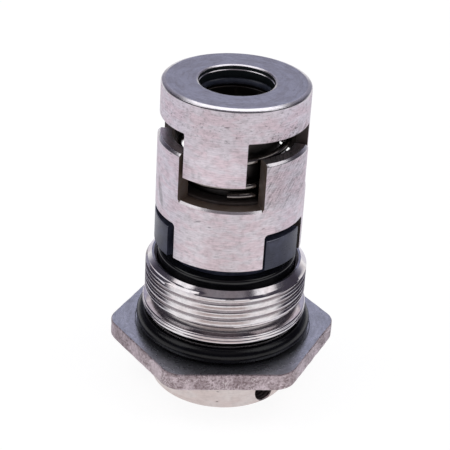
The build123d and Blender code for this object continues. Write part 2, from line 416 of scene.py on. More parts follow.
@dataclass(frozen=True)
class CastSteel(Finish):
    """Skin of a casting: sandy relief, brown shading in its hollows, bright specks of painted glint that
    crowd towards the front.
    """

    high: Colour = (0.70, 0.60, 0.645)
    low: Colour = (0.22, 0.165, 0.175)
    bright: Colour = (0.85, 0.80, 0.80)
    glint_clock: float = -12.0
    roughness: float = 0.46

    def dress(self, bench: Bench, place: Place) -> Dress:
        """Make the colour, roughness and relief of the finish.

        Args:
            bench: Bench of the finish's material.
            place: Coordinates on the piece.

        Returns:
            What the shader is fed with.
        """
        sand = bench.noise(place.point, 2.3, 5.0, 0.74)
        lump = bench.noise(place.point, 0.55, 3.0, 0.6)
        speck = bench.noise(place.point, 4.4, 2.0, 0.6).ramp(0.60, 0.70)
        # Painted glints: the bright specks crowd towards the front.
        front = place.clock.band(self.glint_clock, 10.0, 12.0)
        speck = speck * (bench.noise(place.point, 0.33, 2.0).ramp(0.48, 0.62) + front * 0.5)
        colour = bench.mix(sand.ramp(0.36, 0.62), self.low, self.high)
        colour = bench.mix(lump.ramp(0.35, 0.70, 0.35, 0.0), colour, self.low)
        broad = bench.noise(place.point, 0.22, 2.0, 0.55)
        colour = bench.mix(broad.ramp(0.36, 0.50, 0.32, 0.0), colour, self.low)
        colour = bench.mix(broad.ramp(0.50, 0.64) * 0.45, colour, self.high)
        colour = bench.mix(speck * 0.85, colour, self.bright)
        roughness = self.roughness + (sand - 0.5) * 0.25 - speck * 0.15
        return Dress(colour, roughness, sand + lump * 1.5, 0.12)


@dataclass(frozen=True)
class Carbide(Finish):
    """Dense sintered carbide, ground all over: near black with a faint blue sheen."""

    colour: Colour = (0.030, 0.033, 0.056)
    dust_and_sheen: Colour = (0.088, 0.095, 0.148)
    roughness: float = 0.30
    grain: float = 4.0

    def dress(self, bench: Bench, place: Place) -> Dress:
        """Make the colour, roughness and relief of the finish.

        Args:
            bench: Bench of the finish's material.
            place: Coordinates on the piece.

        Returns:
            What the shader is fed with.
        """
        ground = bench.noise(place.turned(0.3, self.grain), 1.0, 3.0)
        film = bench.noise(place.point, 0.45, 4.0, 0.6)
        colour = bench.mix(film.ramp(0.42, 0.72) * 0.6 + ground * 0.25, self.colour, self.dust_and_sheen)
        roughness = self.roughness + (film - 0.5) * 0.22 + (ground - 0.5) * 0.12
        return Dress(colour, roughness, ground, 0.008)


@dataclass(frozen=True)
class Rubber(Finish):
    """Moulded black rubber with a trace of grease and a second colour, which is faint dusting on most rings
    and painted sheen where it is light.
    """

    colour: Colour = (0.003, 0.003, 0.004)
    dust_and_sheen: Colour = (0.007, 0.008, 0.014)
    roughness: float = 0.13

    def dress(self, bench: Bench, place: Place) -> Dress:
        """Make the colour, roughness and relief of the finish.

        Args:
            bench: Bench of the finish's material.
            place: Coordinates on the piece.

        Returns:
            What the shader is fed with.
        """
        film = bench.noise(place.point, 0.35, 3.0, 0.6)
        grain = bench.noise(place.point, 6.0, 3.0, 0.6)
        speck = bench.noise(place.point, 2.6, 1.0).ramp(0.74, 0.78)
        colour = bench.mix(film.ramp(0.45, 0.75) * 0.5 + speck * 0.6, self.colour, self.dust_and_sheen)
        roughness = self.roughness + (film - 0.5) * 0.3 + (grain - 0.5) * 0.08 + speck * 0.2
        return Dress(colour, roughness, grain * 0.6 + film, 0.03)


class Finishes(Enum):
    """Every finish on the seal, by the surface that it belongs to."""

    HEAD = TurnedSteel(
        "head_steel", warm=(0.79, 0.675, 0.720), cool=(0.80, 0.745, 0.790), grain=5.5, streaks=0.17,
        blotches=0.15, hatching=1.0, specks=0.24, marks=(
            # The second mark, with negative darkness, is a painted light patch on the front leg; the rest
            # are handling marks.
            Mark(-66.0, 37.6, 3.4, 0.9, -68.0, 0.30), Mark(-12.0, 45.8, 4.6, 3.6, 0.0, -0.12),
            Mark(-5.0, 53.0, 0.55, 0.13, 4.0, 0.5),
            Mark(-23.0, 35.9, 0.6, 0.13, 12.0, 0.45), Mark(-14.0, 35.3, 0.3, 0.12, 0.0, 0.4),
            Mark(27.0, 35.1, 0.35, 0.12, 8.0, 0.4), Mark(31.0, 33.4, 0.25, 0.10, -10.0, 0.4),
        )
    )
    EDGE = TurnedSteel(
        "bright_edge", warm=(0.74, 0.70, 0.72), cool=(0.78, 0.75, 0.78), roughness=0.22, streaks=0.10,
        grain_depth=0.002
    )
    # Painted shade: the sleeve's tube gets a near-black copy of the steel.
    SLEEVE_TUBE_SHADE = TurnedSteel(
        "tube_painted_shade", warm=(0.10, 0.085, 0.08), cool=(0.12, 0.11, 0.11), roughness=0.42
    )
    COLLAR = TurnedSteel(
        "collar_steel", warm=(0.65, 0.56, 0.545), cool=(0.68, 0.61, 0.60), roughness=0.34, streaks=0.07
    )
    # Painted shade: inner walls and the washer get a near-black copy of the steel.
    INSIDE_SHADE = TurnedSteel(
        "inside_painted_shade", warm=(0.072, 0.055, 0.050), cool=(0.085, 0.072, 0.070), roughness=0.5, metallic=0.5
    )
    # Painted shade: the bores get a near-black, bluish copy of the steel.
    BORE_SHADE = TurnedSteel(
        "bore_painted_shade", warm=(0.020, 0.026, 0.031), cool=(0.027, 0.035, 0.041), roughness=0.4, metallic=0.5
    )
    # Painted shade: the slots' walls and floors get a dark brown copy of the steel.
    SLOT_SHADE = TurnedSteel(
        "slot_painted_shade", warm=(0.210, 0.145, 0.115), cool=(0.235, 0.185, 0.160), roughness=0.38, metallic=0.4
    )
    # Painted reflection: the cap's faced top gets a darker, bluer copy of the steel.
    TOP_PAINTED_REFLECTION = TurnedSteel(
        "faced_painted_reflection", warm=(0.59, 0.58, 0.63), cool=(0.68, 0.68, 0.75), roughness=0.20, grain=3.0,
        grain_depth=0.003, streaks=0.11, blotches=0.14, nicks=0.25
    )
    # Painted reflection: the gland's faced top gets a darker, bluer copy of the steel.
    HEXAGON_PAINTED_REFLECTION = TurnedSteel(
        "hexagon_painted_reflection", warm=(0.54, 0.55, 0.61), cool=(0.62, 0.63, 0.70), roughness=0.29, grain=2.4,
        grain_depth=0.003, streaks=0.16, blotches=0.16, nicks=0.3, metallic=0.98
    )
    # Painted shade: the gland's level rim gets a darker copy of the steel.
    RIM_SHADE = TurnedSteel(
        "rim_painted_shade", warm=(0.42, 0.41, 0.45), cool=(0.46, 0.46, 0.52), roughness=0.20, streaks=0.10
    )
    BARREL = TurnedSteel(
        "barrel_steel", warm=(0.77, 0.71, 0.725), cool=(0.80, 0.77, 0.79), roughness=0.13, grain=3.0,
        grain_depth=0.001, streaks=0.06, blotches=0.12
    )
    # Painted shade: the thread's upward flanks and the relief groove get a darker copy of the barrel steel.
    ROOT_SHADE = TurnedSteel(
        "root_painted_shade", warm=(0.45, 0.41, 0.415), cool=(0.49, 0.465, 0.475), roughness=0.2, streaks=0.06,
        grain_depth=0.001
    )
    CAST = CastSteel("cast_steel")
    WIRE = TurnedSteel(
        "wire_steel", warm=(0.30, 0.272, 0.255), cool=(0.35, 0.325, 0.31), roughness=0.15, nicks=0.2,
        grain_depth=0.003
    )
    SCREW = TurnedSteel("screw_steel", warm=(0.08, 0.07, 0.07), cool=(0.11, 0.10, 0.10), roughness=0.35)
    CARBIDE = Carbide("ring_carbide", metallic=0.2, specular=0.40)
    # Painted highlight: the lugs' eased upper edges get a much lighter carbide.
    LUG_EDGE_HIGHLIGHT = Carbide(
        "lug_edge_painted_highlight", colour=(0.23, 0.235, 0.29), dust_and_sheen=(0.32, 0.33, 0.40), roughness=0.24, metallic=0.5
    )
    SEAT = Carbide(
        "seat_carbide", colour=(0.003, 0.003, 0.004), dust_and_sheen=(0.009, 0.009, 0.011), roughness=0.12,
        metallic=0.0, specular=0.50
    )
    # Painted sheen: the shaft O-ring's lighter bluish colours stand in for its highlight.
    PAINTED_SHEEN_RUBBER = Rubber(
        "painted_sheen_rubber", colour=(0.035, 0.040, 0.060), dust_and_sheen=(0.10, 0.11, 0.155), roughness=0.20,
        metallic=0.0
    )
    RUBBER = Rubber("black_rubber", metallic=0.0, specular=0.32)


# ---------------------------------------------------------------------- forms


class Corner(NamedTuple):
    """A corner of a turned outline, in millimetres, with the radius that eases it."""

    out: float
    up: float
    ease: float = 0.06


def eased(corners: Sequence[Corner], steps: int = 3) -> list[tuple[float, float]]:
    """Round the corners of a closed outline.

    Args:
        corners: Its corners in order.
        steps: Pieces in each rounding.

    Returns:
        Points of the rounded outline.
    """
    points: list[tuple[float, float]] = []
    for index, corner in enumerate(corners):
        here = Vector((corner.out, corner.up))
        before = Vector(corners[index - 1][:2]) - here
        after = Vector(corners[(index + 1) % len(corners)][:2]) - here
        if corner.ease <= 0:
            points.append(tuple(here))
            continue
        reach = min(corner.ease, 0.45 * before.length, 0.45 * after.length)
        first = here + before.normalized() * reach
        last = here + after.normalized() * reach
        for step in range(steps + 1):
            t = step / steps
            points.append(tuple(first * (1 - t) ** 2 + here * 2 * t * (1 - t) + last * t * t))
    return points


def heading(clock: float) -> Vector:
    """Unit vector at a clock angle in degrees, from -Y towards +X."""
    return Vector((math.sin(math.radians(clock)), -math.cos(math.radians(clock)), 0.0))


def spot(clock: float, out: float, up: float) -> Vector:
    """Point at a clock angle, a distance from the seal's axis and a height."""
    return heading(clock) * out + Vector((0, 0, up))


def off_axis(point: Vector) -> float:
    """Distance of a point from the seal's axis."""
    return math.hypot(point.x, point.y)


def in_sectors(*clocks: float) -> list[float]:
    """Clock angles repeated at each of the three sectors, the first angle's three first."""
    return [clock + SECTOR * index for clock in clocks for index in range(SECTORS)]


def even(first: float, last: float, count: int) -> list[float]:
    """Evenly spaced values from first to last, with the given number of steps between them."""
    return [first + (last - first) * index / count for index in range(count + 1)]


def columns_clear_of(cuts: Iterable[float]) -> list[float]:
    """Clock angles of a full turn that keep clear of each cut, so that no sliver faces arise.

    Args:
        cuts: Clock angles of the cuts.

    Returns:
        The angles in order.
    """
    step = 360.0 / COLUMNS
    near = 0.36 * step
    wanted = [cut % 360.0 for cut in cuts]
    clocks = [index * step for index in range(COLUMNS)]
    return [a for a in clocks if all(abs((a - cut + 180.0) % 360.0 - 180.0) > near for cut in wanted)]


class Combining(Enum):
    """What a form does with others, by the boolean modifier's own names."""

    CUT = "DIFFERENCE"
    JOIN = "UNION"


class Form:
    """A closed mesh in millimetres that is cut, joined and then eased into a piece."""

    def __init__(self, name: str) -> None:
        """Start an empty form."""
        self.name = name
        self.mesh = bpy.data.meshes.new(name)

    @classmethod
    def grid(cls, name: str, rows: Sequence[Sequence[Vector]], ends: bool = False) -> "Form":
        """Skin rows of points that close on the first row.

        Args:
            name: Name of the form.
            rows: Equal rows of points.
            ends: True to close the two ends of the rows, False where they meet by themselves.

        Returns:
            The new form.
        """
        form = cls(name)
        shape = bmesh.new()
        grid = [[shape.verts.new(point) for point in row] for row in rows]
        for first, second in zip(grid, grid[1:] + grid[:1]):
            for a, b, c, d in zip(first, first[1:], second[1:], second):
                shape.faces.new((a, b, c, d))
        if ends:
            shape.faces.new([row[0] for row in grid])
            shape.faces.new([row[-1] for row in reversed(grid)])
        bmesh.ops.remove_doubles(shape, verts=shape.verts, dist=WELD)
        bmesh.ops.dissolve_degenerate(shape, dist=WELD, edges=shape.edges)
        bmesh.ops.recalc_face_normals(shape, faces=shape.faces)
        shape.to_mesh(form.mesh)
        shape.free()
        return form

    @classmethod
    def turned(cls, name: str, corners: Sequence[Corner], cuts: Iterable[float] = ()) -> "Form":
        """Turn an outline about the seal's axis.

        Args:
            name: Name of the form.
            corners: The outline.
            cuts: Clock angles at which it is cut later.

        Returns:
            The new form.
        """
        clocks = columns_clear_of(cuts)
        clocks.append(clocks[0] + 360.0)
        return cls.swept(name, eased(corners), clocks, ends=False)

    @classmethod
    def swept(
        cls, name: str, outline: Sequence[tuple[float, float]], clocks: Sequence[float], ends: bool = True
    ) -> "Form":
        """Sweep an outline through clock angles."""
        rows = [[spot(clock, out, up) for clock in clocks] for out, up in outline]
        return cls.grid(name, rows, ends)

    @classmethod
    def wedge(
        cls, name: str, clocks: tuple[float, float], reach: tuple[float, float], base: float,
        top: float, ease: float, radius: float = 12.5
    ) -> "Form":
        """A wedge between two clock angles, with rounded corners at its base.

        Args:
            name: Name of the form.
            clocks: First and last clock angle.
            reach: Inner and outer radius.
            base: Height of the rounded side, which may lie above top.
            top: Height of the other side.
            ease: Radius of the two corners at the base.
            radius: Radius at which the corners are measured.

        Returns:
            The new form.
        """
        steps = 5
        face = 3.0
        first, last = clocks
        way = math.copysign(1.0, top - base)
        turn = math.degrees(ease / radius)
        edge = []
        for step in range(steps + 1):
            angle = math.radians(90.0 * step / steps)
            edge.append((first + turn * (1 - math.cos(angle)), base + way * ease * (1 - math.sin(angle))))
        flats = max(2, round((last - first - 2 * turn) / face))
        flat = [(clock, base) for clock in even(first + turn, last - turn, flats)[1:]]
        mirror = [(first + last - clock, up) for clock, up in reversed(edge[:-1])]
        line = edge + flat + mirror
        level = [(clock, top) for clock, _ in line]
        inner, outer = reach
        loops = ((inner, line), (outer, line), (outer, level), (inner, level))
        rows = [[spot(clock, out, up) for clock, up in points] for out, points in loops]
        return cls.grid(name, rows, ends=True)

    def solid(self) -> bpy.types.Object:
        """Link the form as a scratch object.

        Returns:
            The object.
        """
        scratch = bpy.data.objects.new(self.name, self.mesh)
        bpy.context.scene.collection.objects.link(scratch)
        return scratch

    def settle(self, scratch: bpy.types.Object) -> "Form":
        """Bake a scratch object's modifiers into the form and remove it.

        Args:
            scratch: The object.

        Returns:
            This form.
        """
        depsgraph = bpy.context.evaluated_depsgraph_get()
        depsgraph.update()
        self.mesh = bpy.data.meshes.new_from_object(scratch.evaluated_get(depsgraph))
        bpy.data.objects.remove(scratch)
        return self

    def combined(self, others: Sequence["Form"], way: Combining) -> "Form":
        """Cut other forms away from this one, or join them to it.

        Args:
            others: The other forms.
            way: Whether they are cut away or joined.

        Returns:
            This form.
        """
        scratch = self.solid()
        tools = [other.solid() for other in others]
        for tool in tools:
            step = scratch.modifiers.new("combine", "BOOLEAN")
            step.operation = way.value
            step.solver = "MANIFOLD"
            step.object = tool
        self.settle(scratch)
        for tool in tools:
            bpy.data.objects.remove(tool)
        return self

    def cut(self, *others: "Form") -> "Form":
        """Cut the other forms away."""
        return self.combined(others, Combining.CUT)

    def joined(self, *others: "Form") -> "Form":
        """Join the other forms to this one."""
        return self.combined(others, Combining.JOIN)

    def copies(self) -> list["Form"]:
        """Repeat the form round the axis.

        Returns:
            A copy for each of the three sectors.
        """
        found = []
        for index in range(SECTORS):
            twin = Form(self.name)
            twin.mesh = self.mesh.copy()
            twin.mesh.transform(Matrix.Rotation(math.tau * index / SECTORS, 4, "Z"))
            found.append(twin)
        return found

    def moved(self, matrix: Matrix) -> "Form":
        """Move the form by a matrix in millimetres."""
        self.mesh.transform(matrix)
        return self

    def softened(self, width: float, angle: float = 50.0) -> "Form":
        """Break the sharp edges with a small bevel.

        Args:
            width: Width of the bevel in millimetres.
            angle: Least angle of an edge that gets it, in degrees.

        Returns:
            This form.
        """
        shape = bmesh.new()
        shape.from_mesh(self.mesh)
        bmesh.ops.remove_doubles(shape, verts=shape.verts, dist=SLIVER)
        bmesh.ops.dissolve_degenerate(shape, dist=SLIVER, edges=shape.edges)
        shape.to_mesh(self.mesh)
        shape.free()
        scratch = self.solid()
        bevel = scratch.modifiers.new("ease", "BEVEL")
        bevel.width = width
        bevel.segments = 2
        bevel.limit_method = "ANGLE"
        bevel.angle_limit = math.radians(angle)
        bevel.use_clamp_overlap = True
        return self.settle(scratch)

    def piece(
        self, body: str, nodes: Sequence[str], slot: str, finish: Finishes,
        others: dict[Finishes, Callable[[Vector, Vector], bool]] | None = None, smooth: float = 40.0
    ) -> bpy.types.Object:
        """Make the finished piece, in metres, riding on its body.

        Args:
            body: Body that it moves with.
            nodes: Nodes that it stands for.
            slot: Material slot of the record; not used.
            finish: Finish of the whole piece.
            others: Finishes of single faces, chosen by a face's middle and normal.
            smooth: Greatest angle between faces that still shade as one surface, in degrees.

        Returns:
            The piece.
        """
        mesh = self.mesh
        mesh.materials.clear()
        mesh.materials.append(finish.value.material())
        for index, (other, belongs) in enumerate((others or {}).items(), start=1):
            mesh.materials.append(other.value.material())
            for face in mesh.polygons:
                if belongs(face.center, face.normal):
                    face.material_index = index
        mesh.shade_smooth()
        mesh.set_sharp_from_angle(angle=math.radians(smooth))
        mesh.transform(Matrix.Scale(MM, 4))
        scratch = self.solid()
        normals = scratch.modifiers.new("normals", "WEIGHTED_NORMAL")
        normals.keep_sharp = True
        normals.weight = 50
        self.settle(scratch)
        self.name = f"{self.name}_finished"
        self.mesh.name = self.name
        piece = self.solid()
        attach(piece, body)
        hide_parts(*nodes)
        LOG.info("%s: %d faces on %s", self.name, len(self.mesh.polygons), body)
        return piece


def span(node: str) -> tuple[Vector, Vector]:
    """Lowest and highest corner of a node, in millimetres."""
    low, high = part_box(node)
    return low / MM, high / MM


# --------------------------------------------------------------- sub-assemblies


@dataclass
class ShaftSleeve:
    """Sleeve tube with its set-screw collar, and the three screws in their tapped holes."""

    bore: float = 6.05
    tube: float = 7.6
    collar_height: float = 7.2
    collar_edge: float = 0.3
    bore_chamfer: float = 0.5
    screw_clock: float = 41.0
    screw_length: float = 4.0
    screw_radius: float = 1.95
    screw_tip: float = 6.35
    screw_chamfer: float = 0.5
    socket_flats: float = 2.0
    socket_depth: float = 1.6
    thread_pitch: float = 0.7
    hole_radius: float = 2.0
    hole_overcut: float = 1.2
    hole_mouth: float = 0.22
    thread_depth: float = 0.2
    screw_thread_depth: float = 0.32

    def build(self) -> None:
        """Build the sleeve and its screws."""
        self.sleeve()
        self.screws()

    def radial(self, clock: float, height: float) -> Matrix:
        """Matrix that lays a form's own axis along a radius."""
        turn = heading(clock).to_track_quat("Z", "Y").to_matrix().to_4x4()
        return Matrix.Translation((0, 0, height)) @ turn

    def sleeve(self) -> None:
        """Turn the tube and collar in one, and tap the three holes."""
        low, high = span("shaft_sleeve")
        radius = high.x
        height = span("set_screw_1")[0].z + self.screw_radius
        edge = self.collar_edge
        form = Form.turned("shaft_sleeve", [
            Corner(self.bore + self.bore_chamfer, low.z),
            Corner(radius - edge, low.z, 0.1),
            Corner(radius, low.z + edge, 0.1),
            Corner(radius, self.collar_height - edge, 0.1),
            Corner(radius - edge, self.collar_height, 0.1),
            Corner(self.tube, self.collar_height, 0.15),
            Corner(self.tube, high.z, 0.12),
            Corner(self.bore, high.z, 0.12),
            Corner(self.bore, low.z + self.bore_chamfer),
        ])
        hole = self.tapped_hole(radius - self.hole_mouth).moved(self.radial(self.screw_clock, height))
        form.cut(*hole.copies()).softened(0.04, 60.0)

        def tube(middle: Vector, normal: Vector) -> bool:
            """True on the tube above the collar."""
            return middle.z > self.collar_height - edge and off_axis(middle) < radius - 1.5

        def inner(middle: Vector, normal: Vector) -> bool:
            """True on the walls of the screws' holes."""
            return off_axis(middle) < radius - 0.35 and 0.2 < middle.z < self.collar_height - edge

        def bore(middle: Vector, normal: Vector) -> bool:
            """True on the bore."""
            return off_axis(middle) < self.bore + 0.1

        # The bore, the tube above the collar and the screw holes get painted shade.
        form.piece(
            "rotor", ["shaft_sleeve"], "turned_steel", Finishes.COLLAR,
            {Finishes.BORE_SHADE: bore, Finishes.SLEEVE_TUBE_SHADE: tube, Finishes.INSIDE_SHADE: inner}
        )

    def tapped_hole(self, mouth: float) -> Form:
        """Turn the cutter of one set-screw hole, threaded up to a countersunk mouth.

        Args:
            mouth: Distance of the mouth from the seal's axis.

        Returns:
            The cutter, standing on the axis.
        """
        foot = self.bore - self.hole_overcut
        head = mouth + self.hole_overcut
        outline = [(0.0, foot), (self.hole_radius, foot)]
        turn = self.bore - 1.0
        while turn < mouth - self.thread_pitch:
            outline.append((self.hole_radius, turn + 0.1))
            outline.append((self.hole_radius + self.thread_depth, turn + 0.4 * self.thread_pitch))
            turn += self.thread_pitch
        outline += [(self.hole_radius, mouth), (self.hole_radius + self.hole_overcut, head), (0.0, head)]
        return Form.turned("tapped_hole", [Corner(out, up, 0.0) for out, up in outline])

    def screws(self) -> None:
        """Make the three socket set screws."""
        inset = self.screw_chamfer
        crest = self.screw_radius
        root = crest - self.screw_thread_depth
        corners = [Corner(0.0, 0.0, 0.0), Corner(crest - inset, 0.0, 0.05)]
        ridge = inset
        while ridge < self.screw_length - inset:
            corners.append(Corner(crest, ridge + 0.12, 0.0))
            corners.append(Corner(root, ridge + self.thread_pitch / 2 + 0.1, 0.0))
            ridge += self.thread_pitch
        corners += [
            Corner(crest, self.screw_length - inset / 2, 0.0),
            Corner(crest - inset / 2, self.screw_length, 0.05),
            Corner(0.0, self.screw_length, 0.0),
        ]
        across = self.socket_flats / math.sqrt(3)
        bottom, above = self.screw_length - self.socket_depth, self.screw_length + 1.0
        hexagon = [(0.0, bottom), (across, bottom), (across, above), (0.0, above)]
        for index, clock in enumerate(in_sectors(self.screw_clock), start=1):
            node = f"set_screw_{index}"
            low, high = span(node)
            socket = Form.swept("socket", hexagon, even(0.0, 360.0, 6), ends=False)
            form = Form.turned(node, corners).cut(socket).softened(0.03, 55.0)
            tip = Matrix.Translation(heading(clock) * self.screw_tip)
            form.moved(tip @ self.radial(clock, (low.z + high.z) / 2))
            form.piece(f"screw_{index}", [node], "screw_steel", Finishes.SCREW)


@dataclass
class SealCarrier:
    """Cast hexagon gland with its screw-cut barrel, the seat in its mouth and their O-rings."""

    flats: float = 35.0
    corner: float = 4.0
    clock: float = 6.2
    thickness: float = 3.35
    bore: float = 8.4
    spot_depth: float = 0.1
    spot_radius: float = 15.4
    neck: float = 12.15
    neck_length: float = 3.8
    land: float = 14.2
    land_length: float = 1.4
    land_chamfer: float = 0.2
    scored: float = 0.72
    scored_half: float = 0.11
    scored_depth: float = 0.12
    relief: float = 12.9
    relief_length: float = 1.0
    crest: float = 13.87
    pitch: float = 1.5
    thread_depth: float = 0.44
    crest_width: float = 0.95
    crest_ease: float = 0.04
    crest_fall: float = 0.045
    crest_level: float = 0.62
    crest_height: float = 22.75
    lead: float = 1.05
    rim_rise: float = 0.45
    mouth: float = 11.95
    mouth_chamfer: float = 0.50
    mouth_depth: float = 5.8
    roughness: float = 0.055
    underside: float = 15.2
    underside_inset: float = 0.9
    lower_edge: tuple[tuple[float, float], ...] = ((0.35, 0.06), (0.08, 0.3))
    upper_edge: tuple[tuple[float, float], ...] = ((0.05, 0.07), (0.14, 0.0))
    side_start: float = 0.45
    side_end: float = 0.15
    side_rows: int = 9
    columns: int = 288
    seat_bore: float = 8.3
    seat_foot: float = 10.0
    seat_foot_height: float = 2.4

    def build(self) -> None:
        """Build the carrier and the seat."""
        self.carrier()
        self.seat()

    def hexagon(self, clock: float, inset: float = 0.0) -> float:
        """Radius of the rounded hexagon at a clock angle.

        Args:
            clock: Clock angle in degrees.
            inset: How far inside the full outline.

        Returns:
            The radius in millimetres.
        """
        apothem = self.flats / 2 - inset
        round_ = self.corner - inset
        centre = (apothem - round_) / math.cos(math.pi / 6)
        off = abs((clock - self.clock + 30.0) % 60.0 - 30.0)
        if off < math.degrees(math.atan((apothem - round_) * math.tan(math.pi / 6) / apothem)):
            return apothem / math.cos(math.radians(off))
        away = math.radians(30.0 - off)
        return centre * math.cos(away) + math.sqrt(round_**2 - (centre * math.sin(away)) ** 2)

    def rough(self, clock: float, height: float) -> float:
        """How far the cast skin lies inside the true hexagon, in millimetres."""
        place = spot(clock, self.flats / 2 - 0.5, height)
        return self.roughness * (1.1 + noise.noise(place * 0.55) + 0.7 * noise.noise(place * 1.9))

    def thread(self) -> list[tuple[float, float]]:
        """Outline of one turn of the 60 degree thread.

        Returns:
            Heights from the crest's middle, each with its depth below the crest.
        """
        half = self.crest_width / 2
        root = half + self.thread_depth * math.tan(math.pi / 6)
        return eased([
            Corner(-root, self.thread_depth, 0.0), Corner(-half, self.crest_fall, 0.1),
            Corner(half - self.crest_level, 0.0, 0.2), Corner(half, 0.0, self.crest_ease),
            Corner(root, self.thread_depth, 0.0),
        ])

    def carrier(self) -> None:
        """Build hexagon, neck, land, relief and thread as one skin."""
        low, high = span("seal_carrier")
        bottom, rim = low.z, high.z + self.rim_rise
        top = bottom + self.thickness
        land = top + self.neck_length
        groove = land + self.land_length
        start = groove + self.relief_length
        floor = high.z - self.mouth_depth
        clocks = even(0.0, 360.0, self.columns)

        def ring(out: float, up: float) -> list[Vector]:
            """A level ring of points."""
            return [spot(clock, out, up) for clock in clocks]

        def side(inset: float, up: float, skin: float = 1.0) -> list[Vector]:
            """A ring of the hexagon's cast side.

            Args:
                inset: How far inside the full outline.
                up: Height of the ring.
                skin: Share of the casting's roughness.

            Returns:
                Points of the ring.
            """
            return [
                spot(clock, self.hexagon(clock, inset) - skin * self.rough(clock % 360.0, up), up)
                for clock in clocks
            ]

        def flight(base: float, depth: float) -> list[Vector]:
            """One line of the thread, which climbs a pitch in a turn and runs out at both ends.

            Args:
                base: Height at clock angle nought.
                depth: Depth below the crest.

            Returns:
                Points of the line.
            """
            row = []
            for clock in clocks:
                up = min(max(base + self.pitch * clock / 360.0, start), rim)
                run_in = self.relief + (up - start)
                run_out = self.crest - self.lead + (rim - up)
                row.append(spot(clock, min(self.crest - depth, run_in, run_out), up))
            return row

        inside = [
            (self.mouth + self.mouth_chamfer, rim), (self.mouth, rim - self.mouth_chamfer),
            (self.mouth, floor), (self.bore, floor), (self.bore, bottom),
        ]
        rows = [ring(*point) for point in inside]
        rows += [ring(self.underside, bottom), side(self.underside_inset, bottom, 0.5)]
        rows += [side(inset, bottom + rise) for inset, rise in self.lower_edge]
        rows += [side(0.0, up) for up in even(bottom + self.side_start, top - self.side_end, self.side_rows)]
        rows += [side(inset, top - drop) for inset, drop in self.upper_edge]
        rows.append(side(0.6, top, 0.5))
        chamfer = self.land_chamfer
        line = land + self.scored
        shoulder = [
            Corner(self.spot_radius, top, 0.04),
            Corner(self.spot_radius - 0.06, top - self.spot_depth, 0.04),
            Corner(self.neck, top - self.spot_depth, 0.15),
            Corner(self.neck, land, 0.1),
            Corner(self.land - chamfer, land, 0.08),
            Corner(self.land, land + chamfer, 0.1),
            Corner(self.land, line - self.scored_half, 0.02),
            Corner(self.land - self.scored_depth, line, 0.02),
            Corner(self.land, line + self.scored_half, 0.02),
            Corner(self.land, groove - chamfer, 0.1),
            Corner(self.land - chamfer, groove, 0.08),
            Corner(self.relief, groove, 0.12),
            Corner(self.relief, start, 0.0),
        ]
        opened = [Corner(self.spot_radius + 1.0, top, 0.0), *shoulder, Corner(self.relief - 1.0, start, 0.0)]
        rows += [ring(*point) for point in eased(opened)[1:-1]]
        crest = self.crest_height - self.pitch * math.ceil((self.crest_height - start) / self.pitch + 1)
        while crest < rim + self.pitch:
            rows += [flight(crest + up, depth) for up, depth in self.thread()]
            crest += self.pitch
        form = Form.grid("seal_carrier", rows)

        def cast(middle: Vector, normal: Vector) -> bool:
            """True on the skin of the casting."""
            skin = normal.z < 0.95 or middle.z < top - 0.05
            return skin and off_axis(middle) > self.spot_radius + 0.2

        def faced(middle: Vector, normal: Vector) -> bool:
            """True on the faced top."""
            return normal.z > 0.9 and off_axis(middle) > self.neck and middle.z < top + 0.05

        def rim_face(middle: Vector, normal: Vector) -> bool:
            """True on the level rim."""
            return normal.z > 0.95 and middle.z > rim - 0.05

        def root(middle: Vector, normal: Vector) -> bool:
            """Tell the roots, darkened with painted shade, from the crests.

            Args:
                middle: Middle of a face.
                normal: The way it looks.

            Returns:
                True on the relief and on the thread's flanks that face up.
            """
            out = off_axis(middle)
            threaded = groove < middle.z < rim - self.lead and self.mouth < out
            flank = normal.z > 0.4 and self.crest - self.thread_depth < out < self.crest - 0.08
            return threaded and (out < self.relief + 0.2 or flank)

        # The rim and the thread's roots get painted shade, the faced top a painted reflection.
        form.piece(
            "gland", ["seal_carrier"], "gland_steel", Finishes.BARREL,
            {Finishes.CAST: cast, Finishes.HEXAGON_PAINTED_REFLECTION: faced, Finishes.RIM_SHADE: rim_face, Finishes.ROOT_SHADE: root},
            smooth=32.0
        )

    def seat(self) -> None:
        """Turn the stepped seat ring."""
        low, high = span("stationary_seat")
        foot = low.z + self.seat_foot_height
        form = Form.turned("stationary_seat", [
            Corner(self.seat_bore, low.z, 0.1),
            Corner(self.seat_foot, low.z, 0.35),
            Corner(self.seat_foot, foot, 0.1),
            Corner(high.x, foot, 0.12),
            Corner(high.x, high.z - 0.3, 0.12),
            Corner(high.x - 0.3, high.z, 0.12),
            Corner(self.seat_bore, high.z, 0.08),
        ])
        form.piece("gland", ["stationary_seat"], "seat_carbide", Finishes.SEAT)


